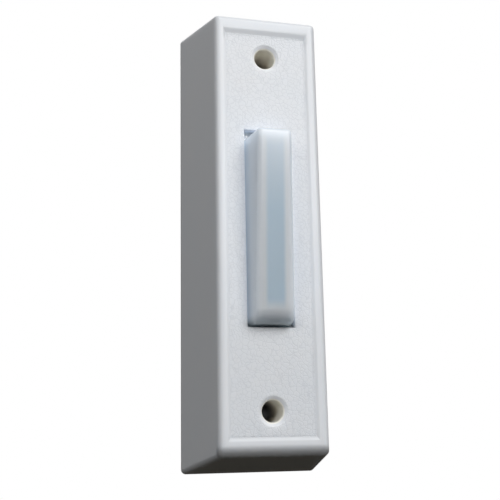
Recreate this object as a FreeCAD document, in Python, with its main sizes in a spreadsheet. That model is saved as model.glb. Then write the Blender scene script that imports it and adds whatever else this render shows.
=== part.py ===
import FreeCAD, Part
import math
import os
import re

import Sketcher

# Surface mounted doorbell push button, upright. Millimetres.
# Origin at the centre of the wall face, +Z up, the front of the button faces -Y, +X to the right.
# A depth in this file is a distance from the wall, so it runs along -Y.

doc = FreeCAD.newDocument("DoorbellPushButton")

# Driving sizes, one alias for each

SIZES = {
    # Housing
    "housing_width": 28.5,
    "housing_height": 95.25,
    "housing_depth": 20.3,
    "side_draft": 10.0,
    "corner_radius": 1.0,
    "rim_radius": 0.95,
    "side_wall": 1.8,
    "front_wall": 2.4,
    "ledge_width": 1.0,
    "border_side": 2.1,
    "border_end": 3.196,
    "panel_depth": 0.6,
    "panel_lip": 0.1,
    "window_width": 9.5,
    "window_height": 39.9,
    "screw_inset": 5.05,
    "screw_hole_diameter": 4.2,
    "countersink_width": 0.85,
    "post_diameter": 8.6,
    # Pins that are melted over to hold the back plate
    "stake_gap": 2.1,
    "stake_boss_diameter": 4.6,
    "stake_diameter": 2.4,
    "stake_head_diameter": 4.2,
    "stake_head_height": 0.9,
    "stake_head_chamfer": 0.4,
    # Push bar
    "bar_side_gap": 0.5,
    "bar_top_gap": 1.4,
    "bar_bottom_gap": 0.4,
    "bar_rise": 4.75,
    "bar_lean": 3.9,
    "bar_draft": 8.5,
    "bar_edge_radius": 0.9,
    "bar_end_radius": 3.0,
    "bar_wall": 1.6,
    "bar_front_wall": 1.4,
    "flange_lip": 1.1,
    "flange_corner_radius": 1.2,
    "flange_thickness": 1.2,
    "flange_gap": 0.1,
    "bar_travel": 1.5,
    "plunger_diameter": 2.0,
    "plunger_chamfer": 0.4,
    "plunger_setback": 3.0,
    "plunger_gap": 0.3,
    # Light guide in the push bar
    "guide_clearance": 0.1,
    "guide_base_thickness": 1.0,
    "guide_rib_width": 3.7,
    "guide_rib_height": 32.8,
    "guide_dimple_diameter": 4.2,
    "guide_dimple_depth": 0.6,
    # Back plate
    "mechanism_room": 9.4,
    "plate_thickness": 1.6,
    "plate_clearance": 0.2,
    "plate_corner_radius": 1.5,
    "peg_diameter": 3.2,
    "peg_height": 1.2,
    # Return springs
    "spring_spacing": 30.0,
    "spring_mean_diameter": 4.1,
    "spring_wire": 0.45,
    "spring_turns": 3.0,
    "spring_clearance": 0.03,
    # Contact strip and leaf
    "column_offset": 4.8,
    "terminal_drop": 3.9,
    "strip_width": 3.6,
    "strip_thickness": 0.4,
    "strip_margin": 3.5,
    "eye_width": 4.8,
    "leaf_width": 3.6,
    "leaf_thickness": 0.3,
    "leaf_root_gap": 0.2,
    "leaf_ramp": 3.6,
    "leaf_tip_margin": 0.6,
    "contact_height": -3.0,
    "contact_clearance": 0.12,
    "tab_width": 3.0,
    "tab_margin": 0.15,
    # Rivets and contacts
    "rivet_diameter": 1.6,
    "rivet_head_diameter": 2.8,
    "rivet_head_height": 0.6,
    "rivet_tail_height": 0.5,
    "rivet_gap": 0.6,
    "contact_head_diameter": 2.8,
    "contact_head_height": 0.8,
    "contact_shank_diameter": 1.4,
    "contact_peen_diameter": 2.0,
    "contact_peen_height": 0.3,
    "fit_clearance": 0.05,
    # Terminals
    "terminal_screw_diameter": 3.5,
    "terminal_screw_end": 1.0,
    "screw_head_diameter": 6.4,
    "screw_head_height": 1.8,
    "screw_head_edge": 0.5,
    "screw_slot_width": 1.0,
    "screw_slot_depth": 0.8,
    "washer_width": 6.6,
    "washer_thickness": 0.6,
    "washer_corner": 1.2,
    "nut_width": 5.6,
    "nut_thickness": 2.2,
    "nut_chamfer": 0.4,
    # Indicator lamp and its resistor
    "lamp_height": 5.0,
    "lamp_diameter": 3.0,
    "lamp_flange_diameter": 3.8,
    "lamp_flange_thickness": 1.0,
    "lamp_gap": 0.8,
    "lamp_seat_height": 1.8,
    "lamp_seat_width": 1.5,
    "lamp_seat_length": 3.0,
    "lead_pitch": 2.54,
    "lead_diameter": 0.5,
    "lead_bend": 0.35,
    "lead_gap": 0.3,
    "lead_loop": 1.6,
    "lead_overrun": 0.6,
    "resistor_rise": 5.5,
    "resistor_length": 4.6,
    "resistor_diameter": 1.8,
    "resistor_waist": 1.5,
    "resistor_cap_length": 1.0,
    "resistor_shoulder": 0.2,
}

sheet = doc.addObject("Spreadsheet::Sheet", "Sizes")
for row, (alias, value) in enumerate(SIZES.items(), start=1):
    sheet.set(f"A{row}", alias)
    sheet.set(f"B{row}", str(value))
    sheet.setAlias(f"B{row}", alias)
doc.recompute()

# Places that several pieces share, as formulas on the sheet's sizes

INNER_FRONT = "(housing_depth - front_wall)"
PANEL = "(housing_depth - panel_depth)"
DRAFT_INSET = "(housing_depth * tan(side_draft))"
PANEL_WIDTH = f"(housing_width - 2 * {DRAFT_INSET} - 2 * border_side)"
PANEL_HEIGHT = f"(housing_height - 2 * {DRAFT_INSET} - 2 * border_end)"
FLANGE_BACK = f"({INNER_FRONT} - flange_gap - flange_thickness)"
PLATE_FRONT = f"({FLANGE_BACK} - mechanism_room)"
PLATE_BACK = f"({PLATE_FRONT} - plate_thickness)"
STRIP_FRONT = f"({PLATE_FRONT} + strip_thickness)"
FOOT_FRONT = f"({PLATE_FRONT} + leaf_thickness)"

# The push bar's front leans, so that its upper end stands out further
BAR_TOP = "(window_height / 2 - bar_top_gap)"
BAR_BOTTOM = "(bar_bottom_gap - window_height / 2)"
BAR_MIDDLE = f"(({BAR_TOP} + {BAR_BOTTOM}) / 2)"
BAR_FRONT = f"({PANEL} + bar_rise)"
BAR_TIP = f"({BAR_FRONT} + {BAR_TOP} * tan(bar_lean))"
BAR_WIDTH = "(window_width - 2 * bar_side_gap)"
BAR_ROOT = f"({BAR_WIDTH} / 2 + ({PANEL} - {FLANGE_BACK}) * tan(bar_draft))"
HOLLOW_WIDTH = f"({BAR_WIDTH} - 2 * bar_wall)"
HOLLOW_TOP = f"({BAR_TOP} - bar_wall)"
HOLLOW_BOTTOM = f"({BAR_BOTTOM} + bar_wall)"
HOLLOW_FRONT = f"({BAR_FRONT} - bar_front_wall)"

# Heights above the middle of what lies along the housing
SCREW_Z = f"({PANEL_HEIGHT} / 2 - screw_inset)"
STAKE_Z = f"({SCREW_Z} - post_diameter / 2 - stake_head_diameter / 2 - stake_gap)"
TERMINAL_Z = f"({STAKE_Z} - terminal_drop)"
RIVET_Z = f"({TERMINAL_Z} - nut_width / 2 - rivet_head_diameter / 2 - rivet_gap)"
LEAF_ROOT = f"(-{RIVET_Z} + rivet_head_diameter / 2 + leaf_root_gap)"
LEAF_TIP = "(contact_height + contact_head_diameter / 2 + leaf_tip_margin)"
PLUNGER_Z = "(contact_height - plunger_setback)"
RESISTOR_Z = "(lamp_height + resistor_rise)"
RESISTOR_TOP = f"({RESISTOR_Z} + resistor_length / 2)"
RESISTOR_BOTTOM = f"({RESISTOR_Z} - resistor_length / 2)"

# The bar's travel closes the contacts through the leaf, which bends about its root
LEVER = f"((contact_height - {LEAF_ROOT}) / ({PLUNGER_Z} - {LEAF_ROOT}))"
CONTACT_GAP = f"((bar_travel - plunger_gap) * {LEVER} + contact_clearance)"
LEAF_RISE = f"(strip_thickness + 2 * contact_head_height + {CONTACT_GAP})"
LEAF_BACK = f"({PLATE_FRONT} + {LEAF_RISE})"
LEAF_FRONT = f"({LEAF_BACK} + leaf_thickness)"
LEAF_ANGLE = f"atan({LEAF_RISE} / leaf_ramp)"
PLUNGER_TIP = f"({LEAF_FRONT} + plunger_gap)"

# Two columns of contacts, and the lead that runs down beside the right one
LEFT_X = "-column_offset"
RIGHT_X = "column_offset"
LEAD_X = "(column_offset + leaf_width / 2 + lead_gap + lead_diameter / 2)"
TAB_END = f"({LEAD_X} + lead_diameter / 2 + tab_margin)"
LAMP_BACK = f"({PLATE_FRONT} + lamp_seat_height)"
LAMP_LENGTH = f"({FLANGE_BACK} - bar_travel - lamp_gap - {LAMP_BACK})"
RESISTOR_AXIS = f"({PLATE_FRONT} + resistor_diameter / 2)"
STRIP_LEAD = f"({STRIP_FRONT} + lead_diameter / 2)"
TAB_LEAD = f"({FOOT_FRONT} + lead_diameter / 2)"
TERMINAL_HOLE = "(terminal_screw_diameter + 2 * fit_clearance)"
RIVET_HOLE = "(rivet_diameter + 2 * fit_clearance)"

# Round wire is drawn with this many flat sides
WIRE_SIDES = 6

# Points nearer than this, in millimetres, count as being in the same place
NEAR = 0.01


def sized(formula):
    """Point each alias in a formula at its cell on the sheet."""

    def cell(word):
        return "Sizes." + word[0] if word[0] in SIZES else word[0]

    return re.sub(r"[a-z_]{2,}", cell, str(formula))


def value_of(formula):
    """Number that a formula gives with the present sizes."""
    return float(sheet.evalExpression(sized(formula)))


def new_body(name):
    body = doc.addObject("PartDesign::Body", name)
    body.Label = name
    return body


def sketch_on(body, plane, name, across="0", up="0", out="0"):
    """Sketch on one of the body's own planes, shifted along its axes and out of it."""
    sketch = body.newObject("Sketcher::SketchObject", name)
    support = next(f for f in body.Origin.OriginFeatures if f.Role == plane)
    sketch.AttachmentSupport = [(support, "")]
    sketch.MapMode = "FlatFace"
    sketch.setExpression("AttachmentOffset.Base.x", sized(across))
    sketch.setExpression("AttachmentOffset.Base.y", sized(up))
    sketch.setExpression("AttachmentOffset.Base.z", sized(out))
    return sketch


def front_sketch(body, name, depth, x="0", z="0"):
    """Sketch parallel to the wall at a depth, whose own origin lies at x, z. It looks out of the front."""
    return sketch_on(body, "XZ_Plane", name, x, z, depth)


def side_sketch(body, name, x="0", z="0"):
    """Sketch seen from the side: along is +Y, up is +Z, and its own H axis lies at x, z."""
    return sketch_on(body, "YZ_Plane", name, "0", z, x)


def bind(sketch, kind, *where, formula):
    """Dimension that follows a formula."""
    index = sketch.addConstraint(Sketcher.Constraint(kind, *where, value_of(formula)))
    sketch.setExpression(f"Constraints[{index}]", sized(formula))


def rectangle(sketch, width, height):
    """Rectangle centred on the sketch's origin."""
    half_width = value_of(width) / 2
    half_height = value_of(height) / 2
    corners = [
        FreeCAD.Vector(-half_width, -half_height, 0),
        FreeCAD.Vector(half_width, -half_height, 0),
        FreeCAD.Vector(half_width, half_height, 0),
        FreeCAD.Vector(-half_width, half_height, 0),
    ]
    lines = [sketch.addGeometry(Part.LineSegment(corners[i], corners[(i + 1) % 4])) for i in range(4)]
    for i in range(4):
        sketch.addConstraint(Sketcher.Constraint("Coincident", lines[i], 2, lines[(i + 1) % 4], 1))
    for i in (0, 2):
        sketch.addConstraint(Sketcher.Constraint("Horizontal", lines[i]))
        sketch.addConstraint(Sketcher.Constraint("Vertical", lines[i + 1]))
    sketch.addConstraint(Sketcher.Constraint("Symmetric", lines[0], 1, lines[1], 2, -1, 1))
    bind(sketch, "DistanceX", lines[0], 1, lines[0], 2, formula=width)
    bind(sketch, "DistanceY", lines[1], 1, lines[1], 2, formula=height)


def rounded_rectangle(sketch, width, height, radius):
    """Rectangle with rounded corners, centred on the sketch's origin."""
    w = value_of(width) / 2
    h = value_of(height) / 2
    r = value_of(radius)
    sides = [
        ((r - w, -h), (w - r, -h)),
        ((w, r - h), (w, h - r)),
        ((w - r, h), (r - w, h)),
        ((-w, h - r), (-w, r - h)),
    ]
    centres = [(w - r, r - h), (w - r, h - r), (r - w, h - r), (r - w, r - h)]
    pieces = []
    for i in range(4):
        start, end = (FreeCAD.Vector(x, y, 0) for x, y in sides[i])
        pieces.append(sketch.addGeometry(Part.LineSegment(start, end)))
        bow = Part.Circle(FreeCAD.Vector(*centres[i], 0), FreeCAD.Vector(0, 0, 1), r)
        pieces.append(sketch.addGeometry(Part.ArcOfCircle(bow, (i - 1) * math.pi / 2, i * math.pi / 2)))
    for i in range(4):
        line, bow, following = pieces[2 * i], pieces[2 * i + 1], pieces[(2 * i + 2) % 8]
        sketch.addConstraint(Sketcher.Constraint("Tangent", line, 2, bow, 1))
        sketch.addConstraint(Sketcher.Constraint("Tangent", bow, 2, following, 1))
        sketch.addConstraint(Sketcher.Constraint("Vertical" if i % 2 else "Horizontal", line))
    for i in range(1, 4):
        sketch.addConstraint(Sketcher.Constraint("Equal", pieces[1], pieces[2 * i + 1]))
    sketch.addConstraint(Sketcher.Constraint("Symmetric", pieces[1], 3, pieces[5], 3, -1, 1))
    bind(sketch, "Radius", pieces[1], formula=radius)
    bind(sketch, "DistanceX", pieces[0], 1, pieces[0], 2, formula=f"{width} - 2 * {radius}")
    bind(sketch, "DistanceY", pieces[2], 1, pieces[2], 2, formula=f"{height} - 2 * {radius}")


def circle(sketch, diameter, x="0", y="0"):
    """Circle whose centre lies at x, y in the sketch."""
    centre = FreeCAD.Vector(value_of(x), value_of(y), 0)
    ring = sketch.addGeometry(Part.Circle(centre, FreeCAD.Vector(0, 0, 1), value_of(diameter) / 2))
    bind(sketch, "DistanceX", -1, 1, ring, 3, formula=x)
    bind(sketch, "DistanceY", -1, 1, ring, 3, formula=y)
    bind(sketch, "Diameter", ring, formula=diameter)


def outline(sketch, points, closed=True):
    """Straight outline through points, each an x formula and a y formula."""
    places = [FreeCAD.Vector(value_of(x), value_of(y), 0) for x, y in points]
    count = len(points) if closed else len(points) - 1
    lines = [
        sketch.addGeometry(Part.LineSegment(places[i], places[(i + 1) % len(places)])) for i in range(count)
    ]
    for i in range(count - 1):
        sketch.addConstraint(Sketcher.Constraint("Coincident", lines[i], 2, lines[i + 1], 1))
    if closed:
        sketch.addConstraint(Sketcher.Constraint("Coincident", lines[-1], 2, lines[0], 1))
    for i, (x, y) in enumerate(points):
        line, end = (lines[i], 1) if i < count else (lines[-1], 2)
        bind(sketch, "DistanceX", -1, 1, line, end, formula=x)
        bind(sketch, "DistanceY", -1, 1, line, end, formula=y)


def wire_section(sketch, diameter, y="0"):
    """Flat sided section of a round wire, whose centre lies at y in the sketch."""
    radius = f"{diameter} / 2"
    turns = [(i + 0.5) * 360 / WIRE_SIDES for i in range(WIRE_SIDES)]
    outline(sketch, [(f"{radius} * cos({turn} deg)", f"{y} + {radius} * sin({turn} deg)") for turn in turns])


def extrude(body, kind, name, sketch, length, taper="0", flipped=False):
    feature = body.newObject("PartDesign::" + kind, name)
    feature.Profile = sketch
    feature.setExpression("Length", sized(length))
    feature.setExpression("TaperAngle", sized(taper))
    feature.Reversed = flipped
    sketch.Visibility = False
    doc.recompute()
    return feature


def pad(body, name, sketch, length, taper="0"):
    """Add material from the sketch towards the front."""
    return extrude(body, "Pad", name, sketch, length, taper)


def pocket_to_front(body, name, sketch, length, taper="0"):
    """Cut from the sketch towards the front, and make sure that it cuts."""
    return checked_cut(body, name, sketch, length, taper, True)


def pocket_to_wall(body, name, sketch, length, taper="0"):
    """Cut from the sketch towards the wall, and make sure that it cuts."""
    return checked_cut(body, name, sketch, length, taper, False)


def checked_cut(body, name, sketch, length, taper, flipped):
    before = body.Shape.Volume
    feature = extrude(body, "Pocket", name, sketch, length, taper, flipped)
    if body.Shape.Volume >= before:
        raise RuntimeError(f"{name} cuts nothing")
    return feature


def both_ways(feature):
    """Let a pad or a pocket reach to both sides of its sketch."""
    feature.Midplane = True
    doc.recompute()
    return feature


def turned(body, name, sketch, axis="H_Axis"):
    """Turn the sketch a whole turn about one of its own axes."""
    feature = body.newObject("PartDesign::Revolution", name)
    feature.Profile = sketch
    feature.ReferenceAxis = (sketch, [axis])
    feature.Angle = 360
    sketch.Visibility = False
    doc.recompute()
    return feature


def edges_where(feature, wanted, *unwanted):
    """Names of the edges that pass one test and none of the others, each on an edge and its middle point."""
    names = []
    for number, edge in enumerate(feature.Shape.Edges, start=1):
        middle = edge.valueAt((edge.FirstParameter + edge.LastParameter) / 2)
        if wanted(edge, middle) and not any(test(edge, middle) for test in unwanted):
            names.append(f"Edge{number}")
    return names


def dress(body, kind, name, base, edges, size):
    """Fillet or chamfer of some edges of the last feature."""
    feature = body.newObject("PartDesign::" + kind, name)
    feature.Base = (base, edges)
    feature.setExpression("Radius" if kind == "Fillet" else "Size", sized(size))
    doc.recompute()
    return feature


def at_depth(depth):
    """Test for edges that lie wholly at one depth."""
    level = value_of(depth)

    def test(edge, middle):
        points = [vertex.Point for vertex in edge.Vertexes] + [middle]
        return all(abs(point.y + level) < NEAR for point in points)

    return test


def any_edge(edge, middle):
    """Test that every edge passes."""
    return True


def is_straight(edge, middle):
    """Test for straight edges."""
    return isinstance(edge.Curve, Part.Line)


def along_depth(edge, middle):
    """Test for edges that run from the wall side to the front."""
    box = edge.BoundBox
    return box.YLength > max(box.XLength, box.ZLength)


def across_depth(edge, middle):
    """Test for edges that don't."""
    return not along_depth(edge, middle)


def across_lower_end(edge, middle):
    """Test for edges that run from side to side below the middle."""
    box = edge.BoundBox
    return middle.z < 0 and box.XLength > max(box.YLength, box.ZLength)


# Housing

def make_housing():
    body = new_body("housing")
    profile = side_sketch(body, "drafted_profile")
    outline(
        profile,
        [
            ("0", "-housing_height / 2"),
            ("0", "housing_height / 2"),
            ("-housing_depth", f"housing_height / 2 - {DRAFT_INSET}"),
            ("-housing_depth", f"{DRAFT_INSET} - housing_height / 2"),
        ],
    )
    both_ways(pad(body, "block", profile, "housing_width"))
    wedges = sketch_on(body, "XY_Plane", "side_wedges")
    for side in ("-", ""):
        edge = f"{side}housing_width / 2"
        narrowed = f"{side}(housing_width / 2 - {DRAFT_INSET})"
        outline(wedges, [(edge, "0"), (narrowed, "-housing_depth"), (edge, "-housing_depth")])
    block = both_ways(extrude(body, "Pocket", "side_draft", wedges, "housing_height"))
    block = dress(body, "Fillet", "corner_edges", block, edges_where(block, along_depth), "corner_radius")
    front_edges = edges_where(block, at_depth("housing_depth"))
    dress(body, "Fillet", "front_rim", block, front_edges, "rim_radius")

    rear = front_sketch(body, "rear_cavity_outline", "0")
    rectangle(rear, "housing_width - 2 * side_wall", "housing_height - 2 * side_wall")
    pocket_to_front(body, "rear_cavity", rear, PLATE_FRONT, "-side_draft")
    step = f"2 * (side_wall + ledge_width + {PLATE_FRONT} * tan(side_draft))"
    inner = front_sketch(body, "front_cavity_outline", PLATE_FRONT)
    rectangle(inner, f"housing_width - {step}", f"housing_height - {step}")
    pocket_to_front(body, "front_cavity", inner, f"{INNER_FRONT} - {PLATE_FRONT}", "-side_draft")

    posts = front_sketch(body, "post_circles", "0")
    bosses = front_sketch(body, "boss_circles", PLATE_FRONT)
    pins = front_sketch(body, "stake_circles", f"{PLATE_BACK} - stake_head_height / 2")
    heads = front_sketch(body, "stake_head_circles", f"{PLATE_BACK} - stake_head_height")
    for side in ("-", ""):
        circle(posts, "post_diameter", y=side + SCREW_Z)
        circle(bosses, "stake_boss_diameter", y=side + STAKE_Z)
        circle(pins, "stake_diameter", y=side + STAKE_Z)
        circle(heads, "stake_head_diameter", y=side + STAKE_Z)
    pad(body, "screw_posts", posts, INNER_FRONT)
    pad(body, "stake_bosses", bosses, f"{INNER_FRONT} - {PLATE_FRONT}")
    pad(body, "stake_pins", pins, "plate_thickness + stake_head_height / 2")
    heads = pad(body, "stake_heads", heads, "stake_head_height")
    head_edges = edges_where(heads, at_depth(f"{PLATE_BACK} - stake_head_height"))
    dress(body, "Chamfer", "stake_head_edges", heads, head_edges, "stake_head_chamfer")

    panel = front_sketch(body, "panel_outline", "housing_depth")
    rectangle(panel, PANEL_WIDTH, PANEL_HEIGHT)
    recess = pocket_to_wall(body, "panel", panel, "panel_depth")
    foot = edges_where(recess, at_depth(PANEL))
    dress(body, "Fillet", "panel_foot", recess, foot, "panel_depth - panel_lip")
    window = front_sketch(body, "window_outline", PANEL)
    rectangle(window, "window_width", "window_height")
    pocket_to_wall(body, "window", window, "front_wall")
    holes = front_sketch(body, "screw_hole_circles", PANEL)
    for side in ("-", ""):
        circle(holes, "screw_hole_diameter", y=side + SCREW_Z)
    drilled = pocket_to_wall(body, "screw_holes", holes, PANEL)
    lips = edges_where(drilled, at_depth(PANEL), is_straight)
    dress(body, "Chamfer", "countersinks", drilled, lips, "countersink_width")
    return body


# Push bar and the light guide in it

def bar_outline(sketch, bottom, top, front):
    """Side view from the flange's back to a leaning front, between two heights."""
    outline(
        sketch,
        [
            (f"-{FLANGE_BACK}", bottom),
            (f"-{FLANGE_BACK}", top),
            (f"-{front} - {top} * tan(bar_lean)", top),
            (f"-{front} - {bottom} * tan(bar_lean)", bottom),
        ],
    )


def make_push_bar():
    body = new_body("push_bar")
    profile = side_sketch(body, "bar_profile")
    bar_outline(profile, BAR_BOTTOM, BAR_TOP, BAR_FRONT)
    both_ways(pad(body, "bar_block", profile, f"2 * {BAR_ROOT}"))
    wedges = sketch_on(body, "XY_Plane", "bar_side_wedges")
    for side in ("-", ""):
        root = f"{side}{BAR_ROOT}"
        tip = f"{side}({BAR_ROOT} - ({BAR_TIP} - {FLANGE_BACK}) * tan(bar_draft))"
        outline(wedges, [(root, f"-{FLANGE_BACK}"), (tip, f"-{BAR_TIP}"), (root, f"-{BAR_TIP}")])
    block = both_ways(extrude(body, "Pocket", "bar_sides", wedges, "window_height"))
    on_back = at_depth(FLANGE_BACK)
    lower_edge = edges_where(block, across_lower_end, on_back)
    block = dress(body, "Fillet", "lower_end", block, lower_edge, "bar_end_radius")
    rims = edges_where(block, any_edge, on_back, across_lower_end)
    dress(body, "Fillet", "bar_rims", block, rims, "bar_edge_radius")

    base = front_sketch(body, "flange_outline", FLANGE_BACK)
    flange_width = "window_width + 2 * flange_lip"
    rounded_rectangle(base, flange_width, "window_height + 2 * flange_lip", "flange_corner_radius")
    pad(body, "flange", base, "flange_thickness")
    hollow = side_sketch(body, "hollow_profile")
    bar_outline(hollow, HOLLOW_BOTTOM, HOLLOW_TOP, HOLLOW_FRONT)
    both_ways(extrude(body, "Pocket", "hollow", hollow, HOLLOW_WIDTH))

    plunger = front_sketch(body, "plunger_circle", PLUNGER_TIP, RIGHT_X, PLUNGER_Z)
    circle(plunger, "plunger_diameter")
    pin = pad(body, "plunger", plunger, f"{FLANGE_BACK} - {PLUNGER_TIP}")
    dress(body, "Chamfer", "plunger_tip", pin, edges_where(pin, at_depth(PLUNGER_TIP)), "plunger_chamfer")
    return body


def make_light_guide():
    body = new_body("light_guide")
    base = front_sketch(body, "base_outline", FLANGE_BACK, z=BAR_MIDDLE)
    base_height = f"{HOLLOW_TOP} - {HOLLOW_BOTTOM} - 2 * guide_clearance"
    rectangle(base, f"{HOLLOW_WIDTH} - 2 * guide_clearance", base_height)
    pad(body, "base", base, "guide_base_thickness")
    rib = side_sketch(body, "rib_profile")
    rib_top = f"({BAR_MIDDLE} + guide_rib_height / 2)"
    rib_bottom = f"({BAR_MIDDLE} - guide_rib_height / 2)"
    bar_outline(rib, rib_bottom, rib_top, f"({HOLLOW_FRONT} - guide_clearance)")
    both_ways(pad(body, "rib", rib, "guide_rib_width"))
    pegs = front_sketch(body, "peg_circles", f"{FLANGE_BACK} - peg_height")
    for side in ("-", ""):
        circle(pegs, "peg_diameter", y=side + "spring_spacing / 2")
    pad(body, "spring_pegs", pegs, "peg_height")
    dimple = front_sketch(body, "dimple_circle", FLANGE_BACK, "0", "lamp_height")
    circle(dimple, "guide_dimple_diameter")
    pocket_to_front(body, "lamp_dimple", dimple, "guide_dimple_depth")
    return body


# Back plate, which closes the housing and carries the contacts

def make_back_plate():
    body = new_body("back_plate")
    inset = f"2 * (side_wall + {PLATE_FRONT} * tan(side_draft) + plate_clearance)"
    board = front_sketch(body, "board_outline", PLATE_BACK)
    rounded_rectangle(board, f"housing_width - {inset}", f"housing_height - {inset}", "plate_corner_radius")
    pad(body, "board", board, "plate_thickness")
    pegs = front_sketch(body, "peg_circles", PLATE_FRONT)
    seat = front_sketch(body, "lamp_seat_outline", PLATE_FRONT, "0", "lamp_height")
    holes = front_sketch(body, "hole_circles", PLATE_FRONT)
    for side in ("-", ""):
        circle(pegs, "peg_diameter", y=side + "spring_spacing / 2")
        circle(holes, "post_diameter + 2 * plate_clearance", y=side + SCREW_Z)
        circle(holes, "stake_diameter + 2 * fit_clearance", y=side + STAKE_Z)
    for x, z in ((LEFT_X, TERMINAL_Z), (RIGHT_X, "-" + TERMINAL_Z)):
        circle(holes, TERMINAL_HOLE, x, z)
    for x, z in ((LEFT_X, RIVET_Z), (RIGHT_X, "-" + RIVET_Z), (RIGHT_X, "contact_height")):
        circle(holes, RIVET_HOLE, x, z)
    rectangle(seat, "lamp_seat_width", "lamp_seat_length")
    pad(body, "spring_pegs", pegs, "peg_height")
    pad(body, "lamp_seat", seat, "lamp_seat_height")
    pocket_to_wall(body, "holes", holes, "plate_thickness")
    return body


# Fixed strip: a flat leg down the left column with an arm under the tip of the leaf

def make_fixed_strip():
    body = new_body("fixed_strip")
    left = f"{LEFT_X} - strip_width / 2"
    right = f"{RIGHT_X} + strip_width / 2"
    inner = f"{LEFT_X} + strip_width / 2"
    top = f"{TERMINAL_Z} + strip_margin"
    arm_top = "contact_height + strip_width / 2"
    arm_bottom = "contact_height - strip_width / 2"
    shape = front_sketch(body, "strip_outline", PLATE_FRONT)
    arm = [(left, arm_bottom), (right, arm_bottom), (right, arm_top), (inner, arm_top)]
    outline(shape, arm + [(inner, top), (left, top)])
    pad(body, "strip", shape, "strip_thickness")
    eye = front_sketch(body, "eye_outline", PLATE_FRONT, LEFT_X, TERMINAL_Z)
    rectangle(eye, "eye_width", "2 * strip_margin")
    pad(body, "terminal_eye", eye, "strip_thickness")
    holes = front_sketch(body, "strip_holes", STRIP_FRONT)
    circle(holes, TERMINAL_HOLE, LEFT_X, TERMINAL_Z)
    circle(holes, RIVET_HOLE, LEFT_X, RIVET_Z)
    circle(holes, RIVET_HOLE, RIGHT_X, "contact_height")
    pocket_to_wall(body, "holes", holes, "strip_thickness")
    return body


# Contact leaf: a springy strip that stands off the plate over the fixed contact

def make_contact_leaf():
    body = new_body("contact_leaf")
    shift = f"leaf_thickness * tan({LEAF_ANGLE} / 2)"
    foot = f"-{TERMINAL_Z} - strip_margin"
    rise_end = f"{LEAF_ROOT} + leaf_ramp"
    profile = side_sketch(body, "leaf_profile", RIGHT_X)
    outline(
        profile,
        [
            (f"-{PLATE_FRONT}", foot),
            (f"-{PLATE_FRONT}", LEAF_ROOT),
            (f"-{LEAF_BACK}", rise_end),
            (f"-{LEAF_BACK}", LEAF_TIP),
            (f"-{LEAF_FRONT}", LEAF_TIP),
            (f"-{LEAF_FRONT}", f"{rise_end} - {shift}"),
            (f"-{FOOT_FRONT}", f"{LEAF_ROOT} - {shift}"),
            (f"-{FOOT_FRONT}", foot),
        ],
    )
    both_ways(pad(body, "leaf", profile, "leaf_width"))
    tab = front_sketch(body, "tab_outline", PLATE_FRONT, f"({RIGHT_X} + {TAB_END}) / 2", "-" + RIVET_Z)
    rectangle(tab, f"{TAB_END} - {RIGHT_X}", "tab_width")
    pad(body, "solder_tab", tab, "leaf_thickness")
    eye = front_sketch(body, "eye_outline", PLATE_FRONT, RIGHT_X, "-" + TERMINAL_Z)
    rectangle(eye, "eye_width", "2 * strip_margin")
    pad(body, "terminal_eye", eye, "leaf_thickness")
    holes = front_sketch(body, "leaf_holes", LEAF_FRONT)
    circle(holes, "contact_shank_diameter + 2 * fit_clearance", RIGHT_X, "contact_height")
    pocket_to_wall(body, "contact_hole", holes, "leaf_thickness")
    foot_holes = front_sketch(body, "foot_holes", FOOT_FRONT)
    circle(foot_holes, TERMINAL_HOLE, RIGHT_X, "-" + TERMINAL_Z)
    circle(foot_holes, RIVET_HOLE, RIGHT_X, "-" + RIVET_Z)
    pocket_to_wall(body, "foot_holes_cut", foot_holes, "leaf_thickness")
    return body


# Rivets, turned from side profiles whose first formula is a place along +Y

def make_rivet(name, x, z, clamped_front, head):
    """Rivet through the plate: a head on the strip and a tail on the back of the plate."""
    body = new_body(name)
    profile = side_sketch(body, "rivet_profile", x, z)
    outline(
        profile,
        [
            (f"-{PLATE_BACK} + rivet_tail_height", "0"),
            (f"-{PLATE_BACK} + rivet_tail_height", "rivet_head_diameter / 2 - rivet_tail_height / 2"),
            (f"-{PLATE_BACK}", "rivet_head_diameter / 2"),
            (f"-{PLATE_BACK}", "rivet_diameter / 2"),
            (f"-{clamped_front}", "rivet_diameter / 2"),
            (f"-{clamped_front}", f"{head}_diameter / 2"),
            (f"-{clamped_front} - {head}_height / 2", f"{head}_diameter / 2"),
            (f"-{clamped_front} - {head}_height", f"{head}_diameter / 4"),
            (f"-{clamped_front} - {head}_height", "0"),
        ],
    )
    turned(body, "rivet", profile)
    return body


def make_leaf_contact():
    body = new_body("leaf_contact")
    profile = side_sketch(body, "contact_profile", RIGHT_X, "contact_height")
    outline(
        profile,
        [
            (f"-{LEAF_BACK} + contact_head_height", "0"),
            (f"-{LEAF_BACK} + contact_head_height", "contact_head_diameter / 4"),
            (f"-{LEAF_BACK} + contact_head_height / 2", "contact_head_diameter / 2"),
            (f"-{LEAF_BACK}", "contact_head_diameter / 2"),
            (f"-{LEAF_BACK}", "contact_shank_diameter / 2"),
            (f"-{LEAF_FRONT}", "contact_shank_diameter / 2"),
            (f"-{LEAF_FRONT}", "contact_peen_diameter / 2"),
            (f"-{LEAF_FRONT} - contact_peen_height", "contact_shank_diameter / 2"),
            (f"-{LEAF_FRONT} - contact_peen_height", "0"),
        ],
    )
    turned(body, "contact", profile)
    return body


# Terminals

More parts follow.
